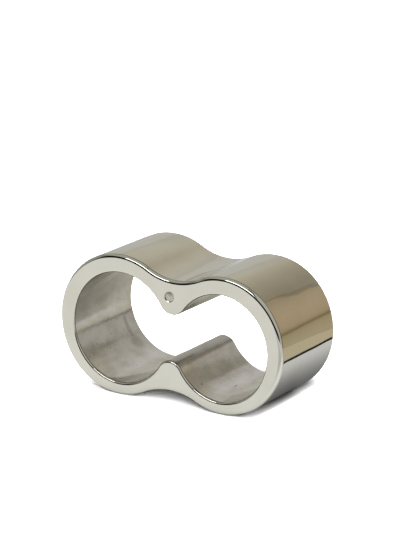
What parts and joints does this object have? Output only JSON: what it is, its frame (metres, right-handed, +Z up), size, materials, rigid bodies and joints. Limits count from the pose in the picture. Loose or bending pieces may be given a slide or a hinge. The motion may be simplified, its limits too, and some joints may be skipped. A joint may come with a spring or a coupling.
{
  "type": "double finger ring",
  "caption": "Broad figure-of-eight band of polished metal with two round finger openings joined through a neck between two rounded cusps, and a small pin set flush in the upper cusp.",
  "frame": {"origin": "middle of the footprint, on the surface that the ring stands on", "axes": "+X from the large lobe to the small lobe, +Y from the front face to the back face, +Z up"},
  "size_m": [0.048, 0.02, 0.0271],
  "materials": {
    "polished_metal": "mirror polished on the faces and the outside, satin as cast inside the openings",
    "pin_metal": "polished, with a shallow dished end"
  },
  "bodies": {
    "root": {"band": "polished_metal", "cusp_pin": "pin_metal"}
  },
  "joints": []
}
